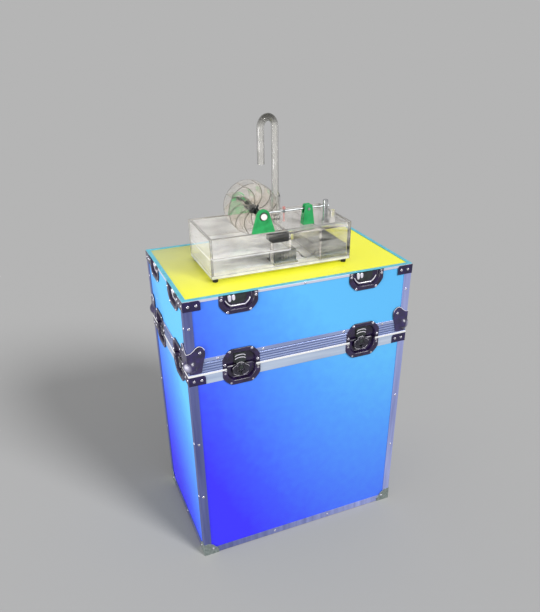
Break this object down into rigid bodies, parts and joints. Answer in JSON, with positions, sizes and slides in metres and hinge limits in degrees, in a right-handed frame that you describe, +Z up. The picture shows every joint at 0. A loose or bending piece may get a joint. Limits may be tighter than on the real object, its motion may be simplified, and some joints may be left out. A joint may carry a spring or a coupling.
{
  "type": "portable handwash basin",
  "caption": "Free-standing flight case with a lift-off top section and a clear basin on it: pumped gooseneck spout over a water wheel that trips a hammer lever.",
  "frame": {"origin": "on the floor under the middle of the case, at the underside of its foot corner caps", "axes": "+Z up, -Y towards the front face, +X along the case's width"},
  "size_m": [0.7218, 0.4518, 1.3305],
  "materials": {
    "blue_laminate": "blue pebbled laminate on plywood",
    "plywood": "bare birch plywood",
    "aluminium_edge": "satin anodised extrusion",
    "aluminium_seam": "bright anodised extrusion",
    "cap_metal": "zinc plated pressed steel",
    "black_fitting": "black powder coat",
    "latch_dish": "black powder coat",
    "latch_steel": "bright zinc plate",
    "latch_handle": "black lacquer",
    "rivet": "bright rivet heads",
    "yellow_laminate": "yellow laminate",
    "cyan_trim": "cyan blue edge trim",
    "clear_acrylic": "clear cast acrylic sheet",
    "clear_tube": "clear acrylic tube",
    "foot_rubber": "black rubber",
    "green_acrylic": "green acrylic plate",
    "black_plastic": "black moulded plastic",
    "dark_steel": "blackened steel rod",
    "bright_steel": "turned stainless steel",
    "red_knob": "red plastic on a steel screw",
    "pump_plastic": "dark grey green moulded plastic",
    "clear_hose": "clear flexible vinyl hose",
    "lead_jacket": "black vinyl jacket",
    "power_box": "dark grey green moulded plastic"
  },
  "bodies": {
    "root": {"base_side_panels": "blue_laminate", "base_floor_panel": "plywood", "base_edge_profiles": "aluminium_edge", "seam_profile": "aluminium_seam", "foot_corner_caps": "cap_metal", "seam_brackets": "black_fitting", "lower_latch_dishes": "latch_dish", "latch_plates": "latch_steel", "latch_hooks": "latch_steel", "base_rivets": "rivet"},
    "upper_case": {"upper_side_panels": "blue_laminate", "top_panel": "yellow_laminate", "top_trim": "cyan_trim", "upper_edge_profiles": "aluminium_edge", "valance": "aluminium_seam", "ball_corners": "black_fitting", "top_corner_brackets": "black_fitting", "upper_latch_dishes": "latch_dish", "top_edge_dishes": "latch_dish", "latch_keepers": "latch_steel", "upper_rivets": "rivet"},
    "sink_unit": {"tank_walls": "clear_acrylic", "tank_bottom": "clear_acrylic", "basin_floor": "clear_acrylic", "basin_partition": "clear_acrylic", "splash_deck": "clear_acrylic", "dry_bulkhead": "clear_acrylic", "rubber_feet": "foot_rubber", "wheel_brackets": "green_acrylic", "shaft_bushes": "black_plastic", "lever_bracket": "green_acrylic", "lever_pin": "bright_steel", "anvil": "bright_steel", "vent_pipe": "clear_acrylic", "spout_socket": "clear_tube", "overflow_box": "black_plastic", "overflow_pipe": "clear_acrylic", "pump": "pump_plastic", "riser_hose": "clear_hose", "pump_lead": "lead_jacket", "power_box": "power_box"},
    "water_wheel": {"wheel_shaft": "dark_steel", "shaft_caps": "bright_steel", "wheel_hub": "clear_tube", "wheel_discs": "clear_acrylic", "wheel_vanes": "clear_acrylic", "trip_cam": "black_plastic"},
    "lever": {"lever_arm": "bright_steel", "hammer": "bright_steel", "lift_screw": "red_knob"},
    "spout": {"gooseneck_spout": "clear_tube"},
    "latch_front_left_handle": {"latch_front_left": "latch_handle"},
    "latch_front_right_handle": {"latch_front_right": "latch_handle"},
    "latch_right_front_handle": {"latch_right_front": "latch_handle"},
    "latch_right_back_handle": {"latch_right_back": "latch_handle"},
    "latch_back_right_handle": {"latch_back_right": "latch_handle"},
    "latch_back_left_handle": {"latch_back_left": "latch_handle"},
    "latch_left_back_handle": {"latch_left_back": "latch_handle"},
    "latch_left_front_handle": {"latch_left_front": "latch_handle"}
  },
  "joints": [
    {"name": "upper_case_lift", "type": "slide", "parent": "root", "child": "upper_case", "axis": [0, 0, 1], "range_m": [0, 0.25]},
    {"name": "sink_unit_lift", "type": "slide", "parent": "upper_case", "child": "sink_unit", "axis": [0, 0, 1], "range_m": [0, 0.15]},
    {"name": "wheel_spin", "type": "hinge", "parent": "sink_unit", "child": "water_wheel", "pos_m": [-0.087, -0.027, 1.0885], "axis": [0, 1, 0], "continuous": true},
    {"name": "lever_rock", "type": "hinge", "parent": "sink_unit", "child": "lever", "pos_m": [0.072, -0.07, 1.0785], "axis": [0, -1, 0], "range_deg": [0, 12]},
    {"name": "spout_swivel", "type": "hinge", "parent": "sink_unit", "child": "spout", "pos_m": [0.005, 0.009, 1.1005], "axis": [0, 0, 1], "range_deg": [-60, 60]},
    {"name": "latch_front_left_turn", "type": "hinge", "parent": "root", "child": "latch_front_left_handle", "pos_m": [-0.196, -0.2075, 0.688], "axis": [0, -1, 0], "range_deg": [0, 180]},
    {"name": "latch_front_right_turn", "type": "hinge", "parent": "root", "child": "latch_front_right_handle", "pos_m": [0.196, -0.2075, 0.688], "axis": [0, -1, 0], "range_deg": [0, 180]},
    {"name": "latch_right_front_turn", "type": "hinge", "parent": "root", "child": "latch_right_front_handle", "pos_m": [0.3425, -0.11, 0.688], "axis": [1, 0, 0], "range_deg": [0, 180]},
    {"name": "latch_right_back_turn", "type": "hinge", "parent": "root", "child": "latch_right_back_handle", "pos_m": [0.3425, 0.11, 0.688], "axis": [1, 0, 0], "range_deg": [0, 180]},
    {"name": "latch_back_right_turn", "type": "hinge", "parent": "root", "child": "latch_back_right_handle", "pos_m": [0.196, 0.2075, 0.688], "axis": [0, 1, 0], "range_deg": [0, 180]},
    {"name": "latch_back_left_turn", "type": "hinge", "parent": "root", "child": "latch_back_left_handle", "pos_m": [-0.196, 0.2075, 0.688], "axis": [0, 1, 0], "range_deg": [0, 180]},
    {"name": "latch_left_back_turn", "type": "hinge", "parent": "root", "child": "latch_left_back_handle", "pos_m": [-0.3425, 0.11, 0.688], "axis": [-1, 0, 0], "range_deg": [0, 180]},
    {"name": "latch_left_front_turn", "type": "hinge", "parent": "root", "child": "latch_left_front_handle", "pos_m": [-0.3425, -0.11, 0.688], "axis": [-1, 0, 0], "range_deg": [0, 180]}
  ]
}
